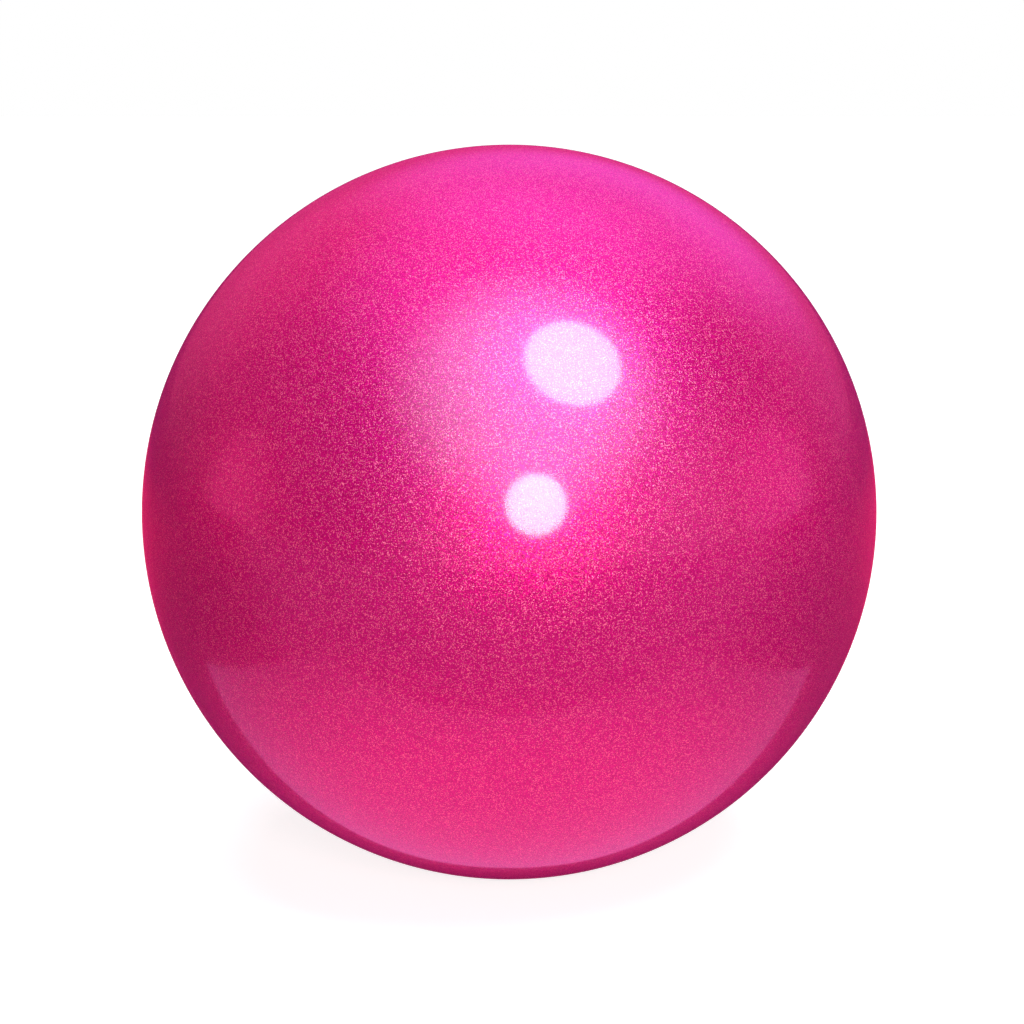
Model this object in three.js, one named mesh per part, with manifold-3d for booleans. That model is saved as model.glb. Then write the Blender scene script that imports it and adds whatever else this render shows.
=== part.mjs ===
import * as THREE from 'three';
import { mergeVertices } from 'three/addons/utils/BufferGeometryUtils.js';
import Module from 'manifold-3d';

// Rhythmic gymnastics ball, in millimetres, with its centre at the origin and +Z up.
// The valve is at the back, on +Y, and every piece is turned about that axis.

// Ball wall
const ballDiameter = 185;
const skinThickness = 0.8;
const shellThickness = 2.5;

// Clearances between pieces that are bonded, pressed together or pulled apart
const bondGap = 0.3;
const coreClearance = 0.3;
const plugClearance = 0.3;

// Reinforcing patch inside the wall
const patchThickness = 1.5;
const patchMargin = 6;
const patchBevel = 1.2;

// Stopper
const plugHeadRadius = 4;
const plugHeadThickness = 1.5;
const plugHeadChamfer = 0.3;
const plugStemRadius = 2;
const plugStemLength = 9;
const plugTipChamfer = 0.8;
const plugRibHeight = 0.4;
const plugRibLength = 1.5;
const plugRibCount = 3;

// Valve housing
const mouthRimWidth = 1.7;
const mouthChamfer = 0.2;
const flangeReach = 8;
const flangeThickness = 1.8;
const housingWall = 2;
const housingEndChamfer = 1;
const needleGuideRadius = 1.1;
const needleGuideLength = 1.2;
const retainingLipLength = 1.8;
const retainingLipReach = 1.7;

// Nail notch in the mouth, beside the stopper's head
const notchRadius = 1.3;
const notchDepth = 2.4;

// Needle core
const coreRadius = 4;
const coreLength = 8;
const coreFlangeReach = 1.7;
const coreFlangeThickness = 1.6;
const needleHoleRadius = 0.8;
const needleHoleDepth = 6;
const funnelRadius = 1.6;
const funnelDepth = 1.2;

// Facets
const ballSides = 56;
const halfBallRings = 14;
const valveSides = 28;
const flangeRings = 4;

// Radii of the layers of the wall, measured from the centre of the ball
const ballRadius = ballDiameter / 2;
const skinInnerRadius = ballRadius - skinThickness;
const shellOuterRadius = skinInnerRadius - bondGap;
const shellInnerRadius = shellOuterRadius - shellThickness;
const patchOuterRadius = shellInnerRadius - bondGap;
const patchInnerRadius = patchOuterRadius - patchThickness;
const flangeOuterRadius = patchInnerRadius - bondGap;
const flangeInnerRadius = flangeOuterRadius - flangeThickness;

// Radii about the valve axis
const seatRadius = plugHeadRadius + plugClearance;
const neckRadius = seatRadius + mouthRimWidth;
const wallHoleRadius = neckRadius + bondGap;
const stemBoreRadius = plugStemRadius + plugRibHeight + plugClearance;
const coreFlangeRadius = coreRadius + coreFlangeReach;
const corePocketRadius = coreRadius + coreClearance;
const coreGrooveRadius = coreFlangeRadius + coreClearance;
const housingRadius = coreGrooveRadius + housingWall;
const retainingLipRadius = coreGrooveRadius - retainingLipReach;
const flangeRadius = neckRadius + flangeReach;
const patchRadius = flangeRadius + patchMargin;

// Heights along the valve axis, from the flush mouth inwards
const mouthHeight = Math.sqrt(ballRadius ** 2 - neckRadius ** 2);
const plugHeadUnderside = mouthHeight - plugHeadThickness;
const seatHeight = plugHeadUnderside - plugClearance;
const plugTipHeight = plugHeadUnderside - plugStemLength;
const guideTop = plugTipHeight - plugClearance;
const corePocketTop = guideTop - needleGuideLength;
const coreTop = corePocketTop - coreClearance;
const coreFlangeTop = coreTop - coreLength;
const coreBottom = coreFlangeTop - coreFlangeThickness;
const coreGrooveTop = coreFlangeTop + coreClearance;
const retainingLipTop = coreBottom - coreClearance;
const housingEnd = retainingLipTop - retainingLipLength;
const plugRibSpacing = (plugStemLength - plugTipChamfer) / (plugRibCount + 1);

// Angle, seen from the centre of the ball, at which a sphere stands a given distance off the valve axis
function edgeAngle(sphereRadius, reach) {
  return Math.acos(reach / sphereRadius);
}

// Points along a circle about the centre of the ball, with the angle counted from the equator to the valve
function arc(sphereRadius, fromAngle, toAngle, steps) {
  const points = [];
  for (let step = 0; step <= steps; step += 1) {
    const angle = THREE.MathUtils.lerp(fromAngle, toAngle, step / steps);
    points.push(new THREE.Vector2(sphereRadius * Math.cos(angle), sphereRadius * Math.sin(angle)));
  }
  return points;
}

// Points of a circle that run between two distances from the valve axis, on the valve's side of the ball
function capArc(sphereRadius, fromReach, toReach) {
  const fromAngle = edgeAngle(sphereRadius, fromReach);
  const toAngle = edgeAngle(sphereRadius, toReach);
  return arc(sphereRadius, fromAngle, toAngle, flangeRings);
}

function point(reach, height) {
  return new THREE.Vector2(reach, height);
}

function welded(geometry) {
  geometry.deleteAttribute('normal');
  geometry.deleteAttribute('uv');
  return mergeVertices(geometry);
}

// A solid turned about the valve axis from a profile that starts and ends on the axis
function turned(profile, sides) {
  return welded(new THREE.LatheGeometry(profile, sides));
}

// A ring turned about the valve axis from a profile that closes on itself
function turnedRing(profile, sides) {
  return turned([...profile, profile[0].clone()], sides);
}

// Points from the pole opposite the valve, over the equator, to the edge of the valve hole
function meridian(sphereRadius) {
  const farHalf = arc(sphereRadius, -Math.PI / 2, 0, halfBallRings);
  const nearHalf = arc(sphereRadius, 0, edgeAngle(sphereRadius, wallHoleRadius), halfBallRings);
  return [...farHalf, ...nearHalf.slice(1)];
}

// One hollow layer of the ball, open at the valve
function ballLayer(outerRadius, innerRadius) {
  const outside = meridian(outerRadius);
  const inside = meridian(innerRadius).reverse();
  return turned([...outside, ...inside], ballSides);
}

function patchShape() {
  const inside = capArc(patchInnerRadius, wallHoleRadius, patchRadius - patchBevel);
  const outside = capArc(patchOuterRadius, patchRadius, wallHoleRadius);
  return turnedRing([...inside, ...outside], valveSides);
}

function housingShape() {
  const flangeUnderside = capArc(flangeInnerRadius, housingRadius, flangeRadius);
  const flangeFace = capArc(flangeOuterRadius, flangeRadius, neckRadius);
  const body = [
    point(retainingLipRadius, housingEnd),
    point(housingRadius - housingEndChamfer, housingEnd),
    point(housingRadius, housingEnd + housingEndChamfer),
  ];
  const mouth = [
    point(neckRadius, mouthHeight),
    point(seatRadius + mouthChamfer, mouthHeight),
    point(seatRadius, mouthHeight - mouthChamfer),
    point(seatRadius, seatHeight),
    point(stemBoreRadius, seatHeight),
    point(stemBoreRadius, guideTop),
  ];
  const pocket = [
    point(needleGuideRadius, guideTop),
    point(needleGuideRadius, corePocketTop),
    point(corePocketRadius, corePocketTop),
    point(corePocketRadius, coreGrooveTop),
    point(coreGrooveRadius, coreGrooveTop),
    point(coreGrooveRadius, retainingLipTop),
    point(retainingLipRadius, retainingLipTop),
  ];
  return turnedRing([...body, ...flangeUnderside, ...flangeFace, ...mouth, ...pocket], valveSides);
}

// Half-round pocket at the edge of the stopper's head, where a fingernail lifts it
function notchShape() {
  const notch = new THREE.CylinderGeometry(notchRadius, notchRadius, 2 * notchDepth, valveSides);
  notch.translate(seatRadius, mouthHeight, 0);
  return welded(notch);
}

function coreShape() {
  return turned([
    point(0, coreBottom),
    point(coreFlangeRadius, coreBottom),
    point(coreFlangeRadius, coreFlangeTop),
    point(coreRadius, coreFlangeTop),
    point(coreRadius, coreTop),
    point(funnelRadius, coreTop),
    point(needleHoleRadius, coreTop - funnelDepth),
    point(needleHoleRadius, coreTop - needleHoleDepth),
    point(0, coreTop - needleHoleDepth),
  ], valveSides);
}

// The ribs slope towards the tip, so the stopper slides in easily and grips on the way out
function plugShape() {
  const profile = [
    point(0, plugTipHeight),
    point(plugStemRadius - plugTipChamfer, plugTipHeight),
    point(plugStemRadius, plugTipHeight + plugTipChamfer),
  ];
  for (let rib = 0; rib < plugRibCount; rib += 1) {
    const ribStart = plugTipHeight + plugTipChamfer + (rib + 0.5) * plugRibSpacing;
    profile.push(point(plugStemRadius, ribStart));
    profile.push(point(plugStemRadius + plugRibHeight, ribStart + plugRibLength));
    profile.push(point(plugStemRadius, ribStart + plugRibLength));
  }
  profile.push(point(plugStemRadius, plugHeadUnderside));
  profile.push(point(plugHeadRadius, plugHeadUnderside));
  profile.push(point(plugHeadRadius, mouthHeight - plugHeadChamfer));
  profile.push(point(plugHeadRadius - plugHeadChamfer, mouthHeight));
  profile.push(point(0, mouthHeight));
  return turned(profile, valveSides);
}

const wasm = await Module();
wasm.setup();

function solidOf(geometry) {
  const vertProperties = new Float32Array(geometry.attributes.position.array);
  const triVerts = new Uint32Array(geometry.index.array);
  return new wasm.Manifold(new wasm.Mesh({ numProp: 3, vertProperties, triVerts }));
}

function geometryOf(solid) {
  const mesh = solid.getMesh();
  const geometry = new THREE.BufferGeometry();
  geometry.setAttribute('position', new THREE.BufferAttribute(mesh.vertProperties, 3));
  geometry.setIndex(new THREE.BufferAttribute(mesh.triVerts, 1));
  return geometry;
}

const ball = new THREE.Group();
ball.name = 'gymnastics_ball';

function addPiece(name, geometry, color, roughness, metalness) {
  geometry.computeVertexNormals();
  const material = new THREE.MeshStandardMaterial({ color, roughness, metalness });
  material.name = name;
  const piece = new THREE.Mesh(geometry, material);
  piece.name = name;
  ball.add(piece);
}

const notchedHousing = geometryOf(solidOf(housingShape()).subtract(solidOf(notchShape())));

addPiece('glitter_skin', ballLayer(ballRadius, skinInnerRadius), 0xe43a88, 0.2, 0.5);
addPiece('pressure_shell', ballLayer(shellOuterRadius, shellInnerRadius), 0xc92c73, 0.5, 0);
addPiece('valve_patch', patchShape(), 0xb02a66, 0.7, 0);
addPiece('valve_housing', notchedHousing, 0xd63380, 0.5, 0);
addPiece('valve_core', coreShape(), 0xe9e4dc, 0.7, 0);
addPiece('valve_plug', plugShape(), 0xdb3784, 0.4, 0);

export default ball;
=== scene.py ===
"""Looks of a rhythmic gymnastics ball: a glossy glitter skin, its flush valve and a small studio."""

import math

import bpy
import numpy as np
from bpy.props import FloatProperty, FloatVectorProperty, IntProperty, PointerProperty
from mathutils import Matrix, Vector


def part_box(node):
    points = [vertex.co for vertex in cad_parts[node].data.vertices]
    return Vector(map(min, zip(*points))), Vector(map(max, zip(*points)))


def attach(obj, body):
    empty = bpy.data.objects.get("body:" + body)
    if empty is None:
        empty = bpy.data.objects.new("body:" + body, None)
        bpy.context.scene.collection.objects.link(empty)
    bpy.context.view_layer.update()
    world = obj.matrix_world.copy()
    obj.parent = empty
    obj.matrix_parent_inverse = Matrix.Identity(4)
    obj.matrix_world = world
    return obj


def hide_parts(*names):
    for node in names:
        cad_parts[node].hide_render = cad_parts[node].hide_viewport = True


bl_info = {
    "name": "Rhythmic Gymnastics Ball",
    "version": (1, 0, 0),
    "blender": (4, 5, 0),
    "location": "View3D > Sidebar > Gymnastics Ball",
    "description": "Builds the skin, the valve and the studio of a glitter gymnastics ball",
    "category": "Add Mesh",
}

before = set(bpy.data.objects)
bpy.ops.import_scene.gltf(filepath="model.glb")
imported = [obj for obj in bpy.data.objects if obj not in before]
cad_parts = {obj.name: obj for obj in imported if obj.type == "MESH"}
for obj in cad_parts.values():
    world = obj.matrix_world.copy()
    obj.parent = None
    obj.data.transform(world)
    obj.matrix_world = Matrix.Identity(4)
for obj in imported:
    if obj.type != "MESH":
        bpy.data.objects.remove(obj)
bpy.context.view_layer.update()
SKIN_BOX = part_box("glitter_skin")
HOUSING_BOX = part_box("valve_housing")
PLUG_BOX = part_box("valve_plug")

IMAGE_PIXELS = 1024


# Sizes and colours


def length(name, description, default):
    """A size in metres that the sidebar shows."""
    return FloatProperty(name=name, description=description, default=default, unit="LENGTH", precision=5)


def colour(name, description, default):
    """A colour, in linear red, green and blue."""
    return FloatVectorProperty(
        name=name, description=description, default=default, subtype="COLOR", size=3, min=0, max=1
    )


def share(name, description, default):
    """A part of a whole, from 0 to 1."""
    return FloatProperty(
        name=name, description=description, default=default, subtype="FACTOR", min=0, max=1
    )


def strength(name, description, default):
    """How bright a lamp or a card is, where 1 is white."""
    return FloatProperty(name=name, description=description, default=default, min=0)


class BallSkin(bpy.types.PropertyGroup):
    """Sizes and finish of the glitter skin."""

    radius: length("Radius", "From the centre to the skin", SKIN_BOX[1].x)
    thickness: length("Thickness", "Thickness of the skin", 0.0008)
    hole_radius: length("Valve hole", "Radius of the hole around the valve's neck", 0.0062)
    lip: length("Lip", "Rounding of the edge at the valve hole", 0.0002)
    flake_size: length("Flake", "Width of one glitter flake", 0.00018)
    flake_share: share("Flake share", "How much of the skin the pale flakes cover", 0.14)
    flake_tilt: share("Flake tilt", "How far a pale flake leans out of the surface", 0.24)
    grain_tilt: share("Grain tilt", "How far the pink grain leans out of the surface", 0.15)
    pink: colour("Pink", "Pearl pink under the gloss", (0.72, 0.005, 0.17))
    deep_pink: colour("Deep pink", "Darker grains of the pink", (0.40, 0.002, 0.085))
    lavender: colour("Lavender", "Cool pale flakes", (0.60, 0.22, 0.66))
    rose: colour("Rose", "Warm pale flakes", (0.90, 0.12, 0.20))
    metal: share("Metal", "How metallic the pink is", 0.50)
    flake_metal: share("Flake metal", "How metallic a pale flake is", 0.60)
    roughness: share("Roughness", "Roughness of the pink under the gloss", 0.34)
    flake_roughness: share("Flake roughness", "Roughness of a pale flake", 0.46)
    gloss: share("Gloss", "Weight of the clear gloss", 0.85)
    gloss_roughness: share("Gloss roughness", "Roughness of the clear gloss", 0.10)


class BallValve(bpy.types.PropertyGroup):
    """Sizes and colours of the valve."""

    mouth_height: length("Mouth", "Height of the flush mouth from the ball's centre", HOUSING_BOX[1].y)
    inner_end: length("Inner end", "Height of the housing's inner end", HOUSING_BOX[0].y)
    flange_radius: length("Flange", "Radius of the housing's flange", HOUSING_BOX[1].x)
    flange_top: length("Flange top", "Distance of the flange's face from the ball's centre", 0.0868)
    flange_thickness: length("Flange thickness", "Thickness of the flange", 0.0018)
    neck_radius: length("Neck", "Radius of the neck in the wall", 0.006)
    body_radius: length("Body", "Radius of the body inside the ball", 0.008)
    seat_radius: length("Seat", "Radius of the seat of the stopper's head", 0.0043)
    seat_depth: length("Seat depth", "Depth of that seat below the mouth", 0.0018)
    bore_radius: length("Bore", "Radius of the bore of the stopper's stem", 0.0027)
    bore_depth: length("Bore depth", "Depth of that bore below the mouth", 0.0108)
    guide_radius: length("Needle guide", "Radius of the hole for the needle", 0.0011)
    guide_length: length("Guide length", "Length of the hole for the needle", 0.0012)
    pocket_radius: length("Core pocket", "Radius of the pocket around the needle core", 0.0043)
    groove_radius: length("Core groove", "Radius of the groove around the core's flange", 0.006)
    groove_height: length("Groove height", "Height of the groove, with the core's flange in it", 0.0022)
    lip_length: length("Lip", "Length of the lip below the groove", 0.0018)
    edge: length("Edge", "Rounding of the moulded edges", 0.00025)
    notch_radius: length("Notch", "Radius of the nail notch", 0.0013)
    notch_depth: length("Notch depth", "Depth of the nail notch below the mouth", 0.0024)
    stem_radius: length("Stem", "Radius of the stopper's stem", 0.002)
    rib_height: length("Rib", "How far a rib of the stem stands out", 0.0004)
    rib_length: length("Rib length", "Length of a rib along the stem", 0.0015)
    tip_chamfer: length("Tip", "Slope at the stem's tip", 0.0008)
    head_thickness: length("Head", "Thickness of the stopper's head", 0.0015)
    dish_depth: length("Dish", "Depth of the dish in the stopper's head", 0.00022)
    rib_count: IntProperty(name="Ribs", description="Ribs on the stem", default=3, min=1)
    housing_pink: colour("Housing", "Soft pink of the valve's mouth", (0.62, 0.028, 0.190))
    plug_pink: colour("Stopper", "Soft pink of the stopper", (0.70, 0.036, 0.225))
    shell_pink: colour("Wall", "Pigmented wall under the skin", (0.52, 0.022, 0.150))
    patch_pink: colour("Patch", "Reinforcing patch", (0.36, 0.020, 0.110))
    core_cream: colour("Core", "Natural rubber of the needle core", (0.72, 0.66, 0.56))


class BallStudio(bpy.types.PropertyGroup):
    """Camera, lamps, and the studio that the ball mirrors."""

    elevation: FloatProperty(
        name="Elevation",
        description="Camera above the horizon",
        default=math.radians(15),
        subtype="ANGLE",
    )
    lens: FloatProperty(name="Lens", description="Focal length of the camera", default=135, min=1)
    picture_radius: FloatProperty(
        name="Picture radius",
        description="Radius of the ball in the picture",
        default=367.5,
        subtype="PIXEL",
    )
    picture_offset: FloatProperty(
        name="Picture offset",
        description="Ball left of the picture's middle",
        default=2.8,
        subtype="PIXEL",
    )
    key: strength("Key lamp", "Large round lamp above, to the right", 14.0)
    front: strength("Front lamp", "Small round lamp beside the camera", 21.0)
    top: strength("Top lamp", "Wide soft lamp overhead", 5.6)
    ambient: strength("Ambient", "Even light from all round", 0.06)
    spill: strength("Spill", "Soft light around the key lamp, as the ball mirrors it", 3.9)
    front_wall: strength("Front wall", "Studio behind the camera, as the ball mirrors it", 1.0)
    ceiling: strength("Ceiling", "Studio overhead, as the ball mirrors it", 1.5)
    back_wall: strength("Back wall", "Studio behind the ball, as the ball mirrors it", 1.2)
    side_wall: strength("Side walls", "Studio around the ball, as the ball mirrors it", 0.33)
    side_patch: strength("Side patches", "Small soft lights at the sides, as the ball mirrors them", 1.4)
    # The card and the cloth glow with painted light and shade, which the ball mirrors.
    card: strength("Card", "White card in front of the ball's foot, as the ball mirrors it", 1.40)
    cloth: strength("Cloth", "Cloth on the viewer's side of that card, as the ball mirrors it", 0.55)
    # Painted shade of the ball on the cloth.
    shade: strength("Shade", "Cloth in the ball's shade, as the ball mirrors it", 0.30)
    rim_glow: strength("Rim glow", "Pink light far behind the ball, as its outline mirrors it", 0.9)
    floor_grey: share("Floor", "Grey of the floor", 0.86)


# Shapes

SHARP_ANGLE = math.radians(50)
LONGEST_CUT = 0.45  # of the shorter edge beside a rounded corner


def turned(reach, height, sides):
    """Points of a surface turned about the Y axis.

    Each profile point stands off the axis by its reach, at its height along Y, and is repeated at even
    angles: x is reach times cosine, z is reach times sine. Reach and height may also vary with the angle.
    """
    angle = np.arange(sides) * (2 * np.pi / sides)
    reach = np.broadcast_to(np.reshape(reach, (len(reach), -1)), (len(reach), sides))
    height = np.broadcast_to(np.reshape(height, (len(height), -1)), (len(height), sides))
    return np.stack([reach * np.cos(angle), height, reach * np.sin(angle)], axis=-1)


def turned_faces(rows, sides, closed):
    """Quads between neighbouring rows and columns; columns wrap round, and so do rows on a closed ring."""
    lower = np.arange(rows if closed else rows - 1)[:, None] * sides
    upper = (lower + sides) % (rows * sides)
    left = np.arange(sides)[None, :]
    right = (left + 1) % sides
    return np.stack([lower + left, upper + left, upper + right, lower + right], axis=-1).reshape(-1, 4)


def fan_faces(pole, first, sides, upwards):
    """Triangles from a pole on the axis to the row of points that starts at first."""
    left = first + np.arange(sides)
    right = first + (np.arange(sides) + 1) % sides
    pair = [right, left] if upwards else [left, right]
    return np.stack([np.full(sides, pole), *pair], axis=-1)


def piece(name, points, faces, material):
    """A mesh object at the origin, with its place in its mesh."""
    mesh = bpy.data.meshes.new(name)
    mesh.from_pydata(points.tolist(), [], faces)
    mesh.materials.append(material)
    mesh.polygons.foreach_set("use_smooth", np.ones(len(mesh.polygons), dtype=bool))
    mesh.set_sharp_from_angle(angle=SHARP_ANGLE)
    if mesh.validate():
        raise RuntimeError(f"{name} has faces that can't be used")
    made = bpy.data.objects.new(name, mesh)
    bpy.context.scene.collection.objects.link(made)
    return made


def turned_solid(name, reach, height, sides, material):
    """A solid whose profile starts and ends on the Y axis, where one point closes each end."""
    rows = turned(reach[1:-1], height[1:-1], sides).reshape(-1, 3)
    poles = np.array([[0, height[0], 0], [0, height[-1], 0]])
    start = len(rows)
    faces = turned_faces(len(reach) - 2, sides, closed=False).tolist()
    faces += fan_faces(start, 0, sides, upwards=False).tolist()
    faces += fan_faces(start + 1, start - sides, sides, upwards=True).tolist()
    return piece(name, np.vstack([rows, poles]), faces, material)


def turned_ring(name, reach, height, sides, material):
    """A ring whose profile closes on itself."""
    points = turned(reach, height, sides).reshape(-1, 3)
    faces = turned_faces(len(reach), sides, closed=True).tolist()
    return piece(name, points, faces, material)


def rounded(corners, cut, steps):
    """A profile with the corners between its two ends rounded off.

    Each corner is replaced by a curve that leaves one edge at the cut distance and joins the next at the
    same distance: the weights of the two ends and the corner are (1-t) squared, t squared and 2t(1-t).
    """
    corners = np.asarray(corners, float)
    before = np.roll(corners, 1, axis=0)
    after = np.roll(corners, -1, axis=0)
    to_before = before - corners
    to_after = after - corners
    reach_before = np.linalg.norm(to_before, axis=1, keepdims=True)
    reach_after = np.linalg.norm(to_after, axis=1, keepdims=True)
    cut = np.minimum(cut, LONGEST_CUT * np.minimum(reach_before, reach_after))
    start = corners + to_before / reach_before * cut
    end = corners + to_after / reach_after * cut
    t = np.linspace(0, 1, steps)[None, :, None]
    curve = (1 - t) ** 2 * start[:, None] + 2 * t * (1 - t) * corners[:, None] + t**2 * end[:, None]
    return np.vstack([corners[:1], curve[1:-1].reshape(-1, 2), corners[-1:]])


def even_steps(first, last, steps):
    """Points spread evenly on the straight line between two profile points."""
    t = np.linspace(0, 1, steps)[:, None]
    return (1 - t) * np.asarray(first, float) + t * np.asarray(last, float)


def sphere_arc(radius, first_angle, last_angle, steps):
    """Profile points on a sphere: reach is radius times sine, height radius times cosine, from +Y."""
    angle = np.linspace(first_angle, last_angle, steps)
    return np.stack([radius * np.sin(angle), radius * np.cos(angle)], axis=-1)


def smooth_step(value):
    """0 below 0, 1 above 1, and 3 t squared minus 2 t cubed between."""
    t = np.clip(value, 0, 1)
    return t * t * (3 - 2 * t)


# Finishes


class Wire:
    """A shader socket that takes part in Python sums. Vectors and colours use Vector Math nodes."""

    def __init__(self, finish, socket):
        self.finish = finish
        self.socket = socket

    def is_vector(self):
        return self.socket.type in {"VECTOR", "RGBA"}

    def combine(self, operation, first, second):
        """Adds a Math node, or a Vector Math node where a side is a vector or a colour."""
        sides = [first, second]
        if any(side.is_vector() if isinstance(side, Wire) else isinstance(side, tuple) for side in sides):
            sides = [(side,) * 3 if isinstance(side, (int, float)) else side for side in sides]
            return self.finish.add("ShaderNodeVectorMath", {"operation": operation}, dict(enumerate(sides)))
        return self.finish.add("ShaderNodeMath", {"operation": operation}, dict(enumerate(sides)))

    def __add__(self, other):
        return self.combine("ADD", self, other)

    def __radd__(self, other):
        return self.combine("ADD", other, self)

    def __sub__(self, other):
        return self.combine("SUBTRACT", self, other)

    def __rsub__(self, other):
        return self.combine("SUBTRACT", other, self)

    def __mul__(self, other):
        return self.combine("MULTIPLY", self, other)

    def __rmul__(self, other):
        return self.combine("MULTIPLY", other, self)

    def __lt__(self, other):
        return self.combine("LESS_THAN", self, other)

    def __gt__(self, other):
        return self.combine("GREATER_THAN", self, other)


class Finish:
    """A material or a world under construction."""

    def __init__(self, owner):
        self.owner = owner
        owner.use_nodes = True
        self.tree = owner.node_tree
        self.tree.nodes.clear()

    def add(self, kind, settings=None, sockets=None, output=0):
        """Adds a node: its settings first, then the values or links of its sockets."""
        node = self.tree.nodes.new(kind)
        for key, value in (settings or {}).items():
            setattr(node, key, value)
        for key, value in (sockets or {}).items():
            if isinstance(value, Wire):
                self.tree.links.new(value.socket, node.inputs[key])
            else:
                node.inputs[key].default_value = value
        return Wire(self, node.outputs[output]) if len(node.outputs) else None

    def output_of(self, wire, name):
        """Another output of the node that a wire comes from."""
        return Wire(self, wire.socket.node.outputs[name])

    def mixed(self, factor, first, second):
        """A colour between two, by a factor. A Mix node has its colours in sockets 6 and 7."""
        settings = {"data_type": "RGBA", "clamp_factor": True}
        return self.add("ShaderNodeMix", settings, {0: factor, 6: first, 7: second}, output=2)

    def measured(self, vector):
        """The length of a vector."""
        return self.add("ShaderNodeVectorMath", {"operation": "LENGTH"}, {0: vector}, output="Value")

    def ramp(self, value, start, end):
        """A smooth rise from 0, where the value is at its start, to 1 at its end."""
        sockets = {"Value": value, "From Min": start, "From Max": end, "To Min": 0.0, "To Max": 1.0}
        return self.add("ShaderNodeMapRange", {"interpolation_type": "SMOOTHSTEP"}, sockets)

    def object_point(self):
        """The shaded point, in the piece's own frame."""
        return self.add("ShaderNodeTexCoord", output="Object")

    def noise(self, scale, detail):
        """Noise from 0 to 1 that is fixed to the piece."""
        sockets = {"Vector": self.object_point(), "Scale": scale, "Detail": detail}
        return self.add("ShaderNodeTexNoise", {}, sockets)

    def close(self, shader, output="ShaderNodeOutputMaterial"):
        """Sends the shader to the output, and returns the finished material or world."""
        self.add(output, {}, {"Surface": shader})
        return self.owner


def new_finish(name):
    """A new material under construction."""
    return Finish(bpy.data.materials.new(name))


def opaque(tone):
    """A tone as a colour that nothing shows through."""
    return (*tone, 1)


def toned(level, tone):
    """A tone at a brightness."""
    return tuple(level * part for part in tone)


def between(factor, first, second):
    """A number between two, by a factor: the first plus the factor times their difference."""
    return first + factor * (second - first)


def glitter_finish(skin):
    """Pearl pink with tilted grains and pale flakes, under a clear gloss.

    The skin is divided into small cells. Each cell leans its own way: a random vector, whose parts run
    from minus the tilt to plus the tilt, is added to the surface normal. A share of the cells are pale
    flakes, which have a tilt, a roughness and a metal of their own.
    """
    made = new_finish("glitter_skin")
    cell_sockets = {"Vector": made.object_point(), "Scale": 1 / skin.flake_size}
    cell_shade = made.add("ShaderNodeTexVoronoi", {"feature": "F1"}, cell_sockets, output="Color")
    cell_place = made.output_of(cell_shade, "Position")
    chance = made.add("ShaderNodeTexWhiteNoise", {}, {"Vector": cell_place}, output="Value")
    chance_shade = made.output_of(chance, "Color")
    cool = made.add("ShaderNodeSeparateColor", {}, {"Color": chance_shade}, output="Red")
    depth = made.output_of(cool, "Green")
    flake = chance < skin.flake_share

    pink = made.mixed(depth, opaque(skin.pink), opaque(skin.deep_pink))
    pale = made.mixed(cool, opaque(skin.rose), opaque(skin.lavender))
    tilt = between(flake, skin.grain_tilt, skin.flake_tilt)
    lean = (cell_shade - 0.5) * (tilt * 2)
    surface_normal = made.add("ShaderNodeNewGeometry", output="Normal")
    normal = made.add("ShaderNodeVectorMath", {"operation": "NORMALIZE"}, {0: surface_normal + lean})
    shader = made.add("ShaderNodeBsdfPrincipled", {}, {
        "Base Color": made.mixed(flake, pink, pale),
        "Metallic": between(flake, skin.metal, skin.flake_metal),
        "Roughness": between(flake, skin.roughness, skin.flake_roughness),
        "Normal": normal,
        "Specular IOR Level": 0.0,
        "Coat Weight": skin.gloss,
        "Coat Roughness": skin.gloss_roughness,
        "Coat IOR": 1.5,
    })
    return made.close(shader)


def moulded_finish(name, tone, roughness, grain_size, grain_depth):
    """Moulded soft plastic or rubber: cloudy pigment, a fine grain and an uneven sheen.

    Coarse noise shifts the colour and the roughness a little, and fine noise lifts the surface.
    """
    darkest = 0.78
    sheen_change = 0.08
    made = new_finish(name)
    cloud = made.noise(scale=90, detail=3)
    grain = made.noise(scale=1 / grain_size, detail=2)
    bump = made.add("ShaderNodeBump", {}, {"Strength": 0.35, "Distance": grain_depth, "Height": grain})
    shader = made.add("ShaderNodeBsdfPrincipled", {}, {
        "Base Color": made.mixed(cloud, opaque(toned(darkest, tone)), opaque(tone)),
        "Roughness": between(cloud, roughness + sheen_change, roughness - sheen_change),
        "Normal": bump,
    })
    return made.close(shader)


# Pieces


class BALL_OT_glitter_skin(bpy.types.Operator):
    """Build the glitter skin, a hollow sphere with a rounded hole at the valve"""

    bl_idname = "gymnastics_ball.glitter_skin"
    bl_label = "Glitter Skin"

    def execute(self, context):
        skin = context.scene.ball_skin
        inner = skin.radius - skin.thickness
        outer_edge = math.asin((skin.hole_radius + skin.lip) / skin.radius)
        inner_edge = math.asin(skin.hole_radius / inner)
        outside = sphere_arc(skin.radius, math.pi, outer_edge, steps=220)
        inside = sphere_arc(inner, inner_edge, math.pi, steps=90)
        corner = (skin.hole_radius, outside[-1, 1])
        below = (skin.hole_radius, outside[-1, 1] - skin.lip)
        lip = rounded([outside[-1], corner, below], skin.lip, steps=8)
        profile = np.vstack([outside, lip[1:], inside])
        finish = glitter_finish(skin)
        made = turned_solid("ball_skin", profile[:, 0], profile[:, 1], sides=256, material=finish)
        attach(made, "ball")
        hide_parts("glitter_skin")
        return {"FINISHED"}


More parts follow.
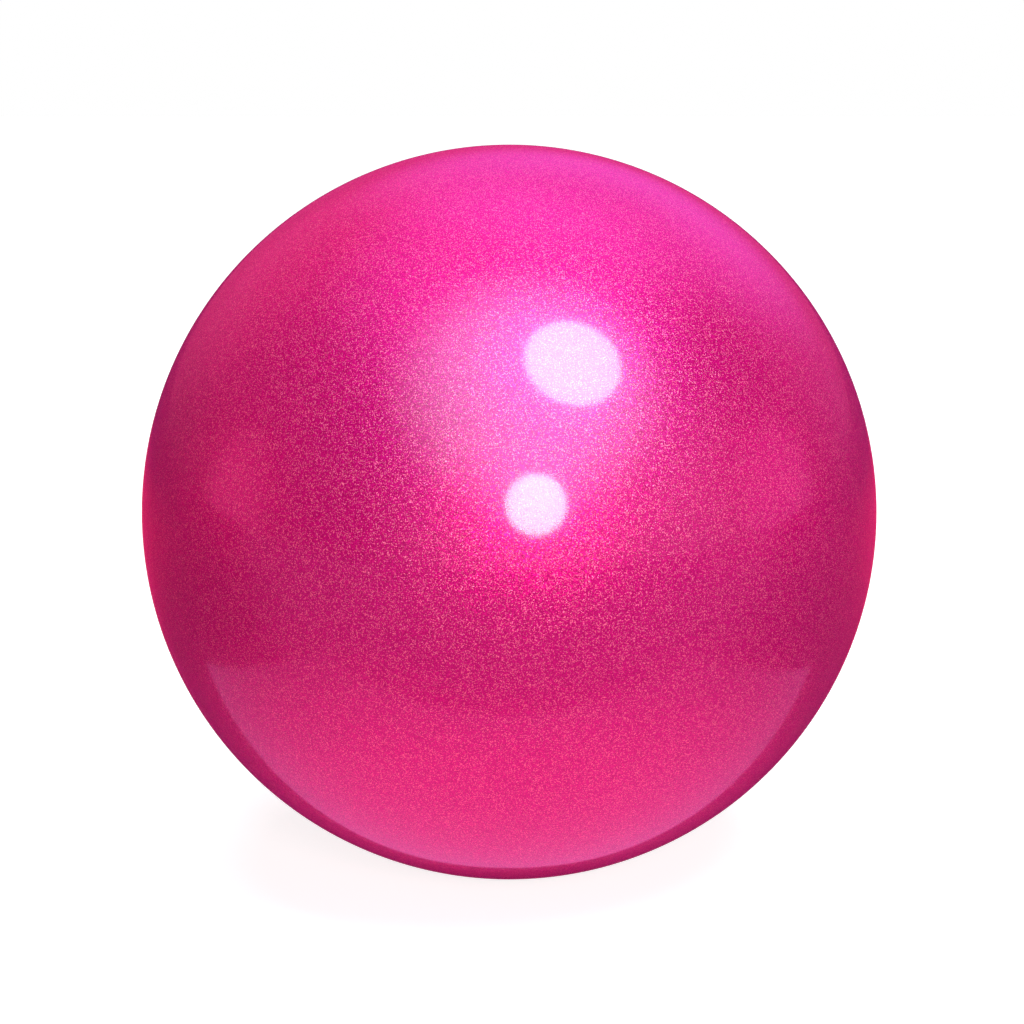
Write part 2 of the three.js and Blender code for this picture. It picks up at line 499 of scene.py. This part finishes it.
def notched_radius(valve, angle):
    """Radius of the stopper's seat with the nail notch at its side.

    It is the seat's radius, or, where that lies further out, the far side of the notch's circle, whose
    centre is on the seat's edge: distance times cosine plus the root of radius squared less the square
    of distance times sine.
    """
    across = valve.seat_radius * np.sin(angle)
    half_chord = np.sqrt(np.clip(valve.notch_radius**2 - across**2, 0, None))
    far_side = valve.seat_radius * np.cos(angle) + half_chord
    in_notch = (np.abs(across) < valve.notch_radius) & (np.cos(angle) > 0)
    return np.where(in_notch, np.maximum(valve.seat_radius, far_side), valve.seat_radius)


class BALL_OT_valve_housing(bpy.types.Operator):
    """Build the valve housing, a moulded ring with a flush mouth, a nail notch and a flange"""

    bl_idname = "gymnastics_ball.valve_housing"
    bl_label = "Valve Housing"

    def execute(self, context):
        valve = context.scene.ball_valve
        sides = 192
        angle = np.arange(sides) * (2 * np.pi / sides)
        mouth = valve.mouth_height
        seat = mouth - valve.seat_depth
        bore_end = mouth - valve.bore_depth
        guide_end = bore_end - valve.guide_length
        lip_top = valve.inner_end + valve.lip_length
        groove_top = lip_top + valve.groove_height

        def on_sphere(radius, reach):
            return (reach, math.sqrt(radius**2 - reach**2))

        flange_under = valve.flange_top - valve.flange_thickness
        outside = rounded([
            (valve.pocket_radius, valve.inner_end),
            (valve.body_radius, valve.inner_end),
            on_sphere(flange_under, valve.body_radius),
            on_sphere(flange_under, valve.flange_radius),
            on_sphere(valve.flange_top, valve.flange_radius),
            on_sphere(valve.flange_top, valve.neck_radius),
            (valve.neck_radius, mouth),
            (valve.seat_radius, mouth),
            (valve.seat_radius, seat),
        ], valve.edge, steps=7)[:-1]
        floor = even_steps((valve.seat_radius, seat), (valve.bore_radius, seat), steps=14)
        inside = rounded([
            (valve.bore_radius, seat),
            (valve.bore_radius, bore_end),
            (valve.guide_radius, bore_end),
            (valve.guide_radius, guide_end),
            (valve.pocket_radius, guide_end),
            (valve.pocket_radius, groove_top),
            (valve.groove_radius, groove_top),
            (valve.groove_radius, lip_top),
            (valve.pocket_radius, lip_top),
            (valve.pocket_radius, valve.inner_end),
        ], valve.edge, steps=5)[1:-1]
        profile = np.vstack([outside, floor, inside])
        reach = np.repeat(profile[:, :1], sides, axis=1)
        height = np.repeat(profile[:, 1:], sides, axis=1)

        # The notch pushes the seat's wall outwards and sinks the seat's floor inside its circle.
        shift = notched_radius(valve, angle) - valve.seat_radius
        rim_reach = valve.seat_radius + valve.edge
        slack = 1e-6
        in_wall = (profile[:, 0] <= rim_reach) & (profile[:, 1] > seat)
        near_mouth = in_wall & (profile[:, 0] >= valve.seat_radius - slack)
        floor_rows = slice(len(outside), len(outside) + len(floor))
        reach[near_mouth] += shift
        fade = np.linspace(1, 0, len(floor))[:, None]
        reach[floor_rows] += shift * fade
        from_notch = np.hypot(
            reach[floor_rows] * np.cos(angle) - valve.seat_radius, reach[floor_rows] * np.sin(angle)
        )
        sink = smooth_step((valve.notch_radius - from_notch) / valve.edge)
        height[floor_rows] -= sink * fade ** 0.5 * (valve.notch_depth - valve.seat_depth)

        finish = moulded_finish(
            "valve_housing", valve.housing_pink, roughness=0.46, grain_size=0.0006, grain_depth=0.00002
        )
        made = turned_ring("valve_housing_moulding", reach, height, sides, finish)
        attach(made, "ball")
        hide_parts("valve_housing")
        return {"FINISHED"}


class BALL_OT_valve_plug(bpy.types.Operator):
    """Build the stopper, a dished flush head on a ribbed stem"""

    bl_idname = "gymnastics_ball.valve_plug"
    bl_label = "Valve Stopper"

    def execute(self, context):
        valve = context.scene.ball_valve
        tip = PLUG_BOX[0].y
        head_radius = PLUG_BOX[1].x
        under_head = valve.mouth_height - valve.head_thickness
        first_rib = tip + valve.tip_chamfer
        spacing = (under_head - first_rib) / (valve.rib_count + 1)
        rib_start = first_rib + (np.arange(valve.rib_count) + 0.5) * spacing
        rib_end = rib_start + valve.rib_length
        crest = np.full(valve.rib_count, valve.stem_radius + valve.rib_height)
        root = np.full(valve.rib_count, valve.stem_radius)
        ribs = np.stack([
            np.stack([root, rib_start], axis=-1),
            np.stack([crest, rib_end], axis=-1),
            np.stack([root, rib_end], axis=-1),
        ], axis=1).reshape(-1, 2)
        dish_radius = 0.62 * head_radius
        dish_floor = 0.5 * dish_radius
        dish_rounding = 4 * valve.edge
        corners = np.vstack([
            [(0, tip), (valve.stem_radius - valve.tip_chamfer, tip), (valve.stem_radius, first_rib)],
            ribs,
            [
                (valve.stem_radius, under_head),
                (head_radius, under_head),
                (head_radius, valve.mouth_height),
                (dish_radius, valve.mouth_height),
                (dish_floor, valve.mouth_height - valve.dish_depth),
                (0, valve.mouth_height - valve.dish_depth),
            ],
        ])
        cut = np.full((len(corners), 1), valve.edge)
        cut[-3:] = dish_rounding
        profile = rounded(corners, cut, steps=7)
        finish = moulded_finish(
            "valve_plug", valve.plug_pink, roughness=0.42, grain_size=0.0005, grain_depth=0.000015
        )
        made = turned_solid("valve_stopper", profile[:, 0], profile[:, 1], sides=128, material=finish)
        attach(made, "plug")
        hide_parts("valve_plug")
        return {"FINISHED"}


class BALL_OT_inner_pieces(bpy.types.Operator):
    """Finish the wall, the patch and the needle core, whose shapes stay as they are"""

    bl_idname = "gymnastics_ball.inner_pieces"
    bl_label = "Inner Pieces"

    def execute(self, context):
        valve = context.scene.ball_valve
        looks = {
            # colour, roughness, grain size, grain depth
            "pressure_shell": (valve.shell_pink, 0.5, 0.0012, 0.00004),
            "valve_patch": (valve.patch_pink, 0.7, 0.0008, 0.00005),
            "valve_core": (valve.core_cream, 0.68, 0.0005, 0.00002),
        }
        for node, look in looks.items():
            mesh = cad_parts[node].data
            mesh.materials.clear()
            mesh.materials.append(moulded_finish(node, *look))
        return {"FINISHED"}


# Studio


def aimed(thing, place, target):
    """Turns an object at a place so that its -Z axis points at the target."""
    thing.location = place
    thing.rotation_mode = "QUATERNION"
    thing.rotation_quaternion = (Vector(target) - Vector(place)).to_track_quat("-Z", "Y")


def direction(azimuth, elevation):
    """A unit vector: azimuth 0 is towards the camera, at -Y, and 90 towards +X; both in degrees."""
    turn = math.radians(azimuth)
    rise = math.radians(elevation)
    return Vector((math.sin(turn) * math.cos(rise), -math.cos(turn) * math.cos(rise), math.sin(rise)))


def mirror_point(towards, to_camera, radius):
    """Where the camera sees a direction mirrored: the ball's normal there is halfway between the two."""
    return (towards + to_camera).normalized() * radius


def disc_lamp(name, towards, target, brightness, distance, half_angle, tone):
    """A round lamp aimed at a target, with its half-angle, in degrees, as seen from there.

    Its power is the brightness times pi times its area.
    """
    radius = distance * math.tan(math.radians(half_angle))
    lamp = bpy.data.lights.new(name, "AREA")
    lamp.shape = "DISK"
    lamp.size = 2 * radius
    lamp.energy = brightness * math.pi * math.pi * radius**2
    lamp.color = tone
    made = bpy.data.objects.new(name, lamp)
    bpy.context.scene.collection.objects.link(made)
    aimed(made, target + towards * distance, target)
    return made


def grid_piece(name, points, material):
    """A sheet over a grid of points, with the first axis down the rows and the second across."""
    rows, columns = points.shape[:2]
    first = (np.arange(rows - 1)[:, None] * columns + np.arange(columns - 1)[None, :]).reshape(-1)
    faces = np.stack([first, first + 1, first + columns + 1, first + columns], axis=-1)
    return piece(name, points.reshape(-1, 3), faces.tolist(), material)


def level_points(x, y, height):
    """Points of a level sheet: x and y as given, all at one height."""
    return np.stack([x, y, np.full_like(x, height)], axis=-1)


def only_mirrored(thing):
    """Lets a sheet or the dome show in reflections alone."""
    thing.visible_camera = False
    thing.visible_diffuse = False
    thing.visible_shadow = False
    thing.visible_transmission = False
    thing.visible_volume_scatter = False


def seen_rays(made):
    """1 for what the camera sees, in mirrors too, and 0 for the light that falls on things."""
    path = made.add("ShaderNodeLightPath", output="Is Camera Ray")
    return path + made.output_of(path, "Is Glossy Ray") + made.output_of(path, "Is Transmission Ray")


def floor_finish(grey):
    """A pale floor that keeps the ball's shadow, and is white to the camera where no shadow lies.

    What is seen of it takes less of the lamps' light, and a glow makes up for that.
    """
    dimmed = 0.4
    glow = 0.84
    made = new_finish("pale_floor")
    seen = seen_rays(made)
    tone = grey * (1 - seen * dimmed)
    lit = made.add("ShaderNodeBsdfDiffuse", {}, {"Color": tone})
    white = made.add("ShaderNodeEmission", {}, {"Color": (1, 1, 1, 1), "Strength": seen * glow})
    return made.close(made.add("ShaderNodeAddShader", {}, {0: lit, 1: white}))


def card_finish(tone, middle, fade_ends):
    """The white card as the ball mirrors it: a painted pool of light, fading with the distance from its
    middle.
    """
    far_share = 0.6
    made = new_finish("white_card_painted_light")
    distance = made.measured(made.object_point() - middle)
    faded = made.mixed(made.ramp(distance, *fade_ends), opaque(tone), opaque(toned(far_share, tone)))
    return made.close(made.add("ShaderNodeEmission", {}, {"Color": faded, "Strength": 1.0}))


def cloth_finish(near_tone, shade_tone, glow_tone, fade_ends, glow_centre, glow_ends):
    """The cloth that the ball stands on, as the ball mirrors it.

    Its tones are painted light and shade. It fades along Y from its near tone to the painted shade of
    the ball. Far behind, the glow's tone takes over by the distance from the glow's centre, in which a step
    along Y counts twice.
    """
    stretch = (1.0, 2.0, 1.0)
    made = new_finish("floor_cloth_painted_light_and_shade")
    point = made.object_point()
    along = made.add("ShaderNodeSeparateXYZ", {}, {"Vector": point}, output="Y")
    shaded = made.mixed(made.ramp(along, *fade_ends), opaque(near_tone), opaque(shade_tone))
    distance = made.measured((point - glow_centre) * stretch)
    tone = made.mixed(made.ramp(distance, *glow_ends), shaded, opaque(glow_tone))
    return made.close(made.add("ShaderNodeEmission", {}, {"Color": tone, "Strength": 1.0}))


class BALL_OT_stage(bpy.types.Operator):
    """Build the floor, the studio, the lamps, the world and the camera"""

    bl_idname = "gymnastics_ball.stage"
    bl_label = "Stage"

    def execute(self, context):
        scene = context.scene
        studio = scene.ball_studio
        radius = scene.ball_skin.radius
        floor_half = 1.2
        across = np.linspace(-floor_half, floor_half, 9)
        floor_points = level_points(*np.meshgrid(across, across), -radius)
        floor = grid_piece("floor", floor_points, floor_finish(studio.floor_grey))
        card, cloth = self.make_sheets(studio, radius)
        dome = self.make_dome(studio)
        self.make_lamps(studio, radius)
        self.make_world(scene, studio)
        self.make_camera(scene, studio, radius)
        scene.view_settings.view_transform = "Standard"
        return {"FINISHED"}

    def make_sheets(self, studio, radius):
        """The white card in front of the ball's foot, and the cloth under it, as the ball mirrors them.

        The card's light ends in a curve around the ball's foot, where painted shade of the ball begins. The
        curve is a hyperbola: its distance behind the curve's middle is the slope times what the root of x
        squared plus bend squared has over the bend.
        """
        card_near = -1.58 * radius
        card_far = -0.42 * radius
        card_left = -1.82 * radius
        card_right = 1.78 * radius
        slope = 0.40
        bend = 0.25 * radius
        card_lift = 0.0006
        cloth_lift = 0.0003
        cloth_half = 3.0
        x = np.linspace(card_left, card_right, 81)
        # The card's far edge is the edge of the ball's painted shade on it.
        far_edge = card_far + slope * (np.sqrt(x**2 + bend**2) - bend)
        card_y = np.stack([np.full_like(x, card_near), far_edge])
        card_points = level_points(np.stack([x, x]), card_y, card_lift - radius)
        across = [-cloth_half, cloth_half]
        cloth_points = level_points(*np.meshgrid(across, across), cloth_lift - radius)

        # Painted pink bounce light from the ball, in the card's and the cloth's tones.
        bounce = (1.0, 0.25, 0.72)
        card_light = card_finish(
            toned(studio.card, bounce),
            middle=(0.0, -0.95 * radius, -radius),
            fade_ends=(0.3 * radius, 1.7 * radius),
        )
        cloth_light = cloth_finish(
            near_tone=toned(studio.cloth, bounce),
            # Painted shade of the ball on the cloth, deep pink from the ball's bounce.
            shade_tone=toned(studio.shade, (1.0, 0.05, 0.4)),
            glow_tone=toned(studio.rim_glow, (1.0, 0.03, 0.19)),
            fade_ends=(card_near - 0.3 * radius, card_far),
            glow_centre=(0.0, radius / math.tan(studio.elevation), -radius),
            glow_ends=(7.0 * radius, 1.5 * radius),
        )
        card = grid_piece("floor_card", card_points, card_light)
        cloth = grid_piece("floor_cloth_painted_light_and_shade", cloth_points, cloth_light)
        only_mirrored(card)
        only_mirrored(cloth)
        return card, cloth

    def make_dome(self, studio):
        """The studio around the ball, as the ball mirrors it: a dome from below the floor to the zenith.

        Each point is the dome's radius times its direction, which comes from its azimuth and elevation.
        """
        dome_radius = 2.5
        azimuth = np.linspace(-180, 180, 73)
        elevation = np.linspace(-20, 90, 23)
        turn, rise = np.meshgrid(np.radians(azimuth), np.radians(elevation))
        points = dome_radius * np.stack(
            [np.sin(turn) * np.cos(rise), -np.cos(turn) * np.cos(rise), np.sin(rise)], axis=-1
        )
        dome = grid_piece("studio_dome", points, self.dome_finish(studio))
        only_mirrored(dome)
        return dome

    def dome_finish(self, studio):
        """Even side walls with soft lights on them.

        Each light is full within its core angle of its own direction, and fades to nothing at its edge
        angle. All its angles are in degrees.
        """
        lights = [
            # azimuth, elevation, core, edge, tone
            (9, 52, 2, 44, toned(studio.spill, (0.20, 1.0, 1.05))),
            (22, 6, 20, 70, toned(studio.front_wall, (0.8, 0.46, 0.8))),
            (0, 90, 15, 50, toned(studio.ceiling, (0.7, 0.17, 1.0))),
            (160, 44, 14, 42, toned(studio.back_wall, (0.6, 0.16, 1.0))),
            (134, 20, 6, 28, toned(0.3 * studio.back_wall, (1.0, 0.12, 0.6))),
            (-142, 32, 8, 32, toned(0.45 * studio.back_wall, (1.0, 0.12, 0.4))),
            (180, -5, 15, 50, toned(0.35 * studio.rim_glow, (1.0, 0.0, 0.2))),
            (-92, 2, 1, 18, toned(studio.side_patch, (1.0, 0.12, 0.4))),
            (91, 4, 1, 20, toned(1.05 * studio.side_patch, (1.0, 0.15, 0.65))),
        ]
        made = new_finish("studio_dome")
        towards = made.add("ShaderNodeVectorMath", {"operation": "NORMALIZE"}, {0: made.object_point()})
        glow = toned(studio.side_wall, (1.0, 0.15, 0.45))
        for azimuth, elevation, core, edge, tone in lights:
            sockets = {0: towards, 1: direction(azimuth, elevation)}
            aligned = made.add("ShaderNodeVectorMath", {"operation": "DOT_PRODUCT"}, sockets, output="Value")
            spot = made.ramp(aligned, math.cos(math.radians(edge)), math.cos(math.radians(core)))
            glow = spot * tone + glow
        return made.close(made.add("ShaderNodeEmission", {}, {"Color": glow, "Strength": 1.0}))

    def make_lamps(self, studio, radius):
        """Two round lamps where the ball mirrors them, and a soft one overhead that it doesn't mirror."""
        to_camera = direction(0, math.degrees(studio.elevation))
        key = direction(azimuth=34.8, elevation=58.0)
        front = direction(azimuth=8.5, elevation=17.0)
        overhead = direction(azimuth=0, elevation=88)
        disc_lamp(
            "key_lamp", key, mirror_point(key, to_camera, radius), studio.key,
            distance=1.1, half_angle=14.0, tone=(0.28, 1.06, 0.95),
        )
        disc_lamp(
            "front_lamp", front, mirror_point(front, to_camera, radius), studio.front,
            distance=1.4, half_angle=9.4, tone=(1.0, 0.97, 0.97),
        )
        top = disc_lamp(
            "top_lamp", overhead, Vector((0, 0, 0)), studio.top,
            distance=1.3, half_angle=25, tone=(1.0, 0.9, 1.0),
        )
        top.visible_glossy = False

    def make_world(self, scene, studio):
        """White to the camera and in reflections, and an even soft light for everything else."""
        scene.world = bpy.data.worlds.new("studio")
        made = Finish(scene.world)
        level = between(seen_rays(made), studio.ambient, 1.0)
        shader = made.add("ShaderNodeBackground", {}, {"Color": (1, 1, 1, 1), "Strength": level})
        made.close(shader, "ShaderNodeOutputWorld")

    def make_camera(self, scene, studio, radius):
        """A camera aimed at the ball's centre, as far off as puts the outline at its radius in the picture.

        The outline's half-angle has the tangent radius in pixels over focal length in pixels, and the
        distance is the ball's radius over the sine of that angle.
        """
        camera = bpy.data.cameras.new("camera")
        camera.lens = studio.lens
        camera.sensor_width = 36
        focal_pixels = IMAGE_PIXELS * camera.lens / camera.sensor_width
        half_angle = math.atan(studio.picture_radius / focal_pixels)
        camera.shift_x = studio.picture_offset / IMAGE_PIXELS
        made = bpy.data.objects.new("camera", camera)
        scene.collection.objects.link(made)
        distance = radius / math.sin(half_angle)
        aimed(made, direction(0, math.degrees(studio.elevation)) * distance, (0, 0, 0))
        scene.camera = made


class BALL_PT_sidebar(bpy.types.Panel):
    """Lists the pieces of the ball and their sizes"""

    bl_idname = "BALL_PT_sidebar"
    bl_label = "Gymnastics Ball"
    bl_space_type = "VIEW_3D"
    bl_region_type = "UI"
    bl_category = "Gymnastics Ball"

    def draw(self, context):
        for operator in OPERATORS:
            self.layout.operator(operator.bl_idname)
        for group in (context.scene.ball_skin, context.scene.ball_valve, context.scene.ball_studio):
            box = self.layout.box()
            for name in group.bl_rna.properties.keys():
                if name not in {"rna_type", "name"}:
                    box.prop(group, name)


GROUPS = {"ball_skin": BallSkin, "ball_valve": BallValve, "ball_studio": BallStudio}
OPERATORS = (
    BALL_OT_glitter_skin,
    BALL_OT_valve_housing,
    BALL_OT_valve_plug,
    BALL_OT_inner_pieces,
    BALL_OT_stage,
)
CLASSES = (*GROUPS.values(), *OPERATORS, BALL_PT_sidebar)


def register():
    for item in CLASSES:
        bpy.utils.register_class(item)
    for name, group in GROUPS.items():
        setattr(bpy.types.Scene, name, PointerProperty(type=group))


def unregister():
    for name in GROUPS:
        delattr(bpy.types.Scene, name)
    for item in reversed(CLASSES):
        bpy.utils.unregister_class(item)


def main():
    register()
    bpy.ops.gymnastics_ball.glitter_skin()
    bpy.ops.gymnastics_ball.valve_housing()
    bpy.ops.gymnastics_ball.valve_plug()
    bpy.ops.gymnastics_ball.inner_pieces()
    bpy.ops.gymnastics_ball.stage()
    bpy.context.view_layer.update()


if __name__ == "__main__":
    main()
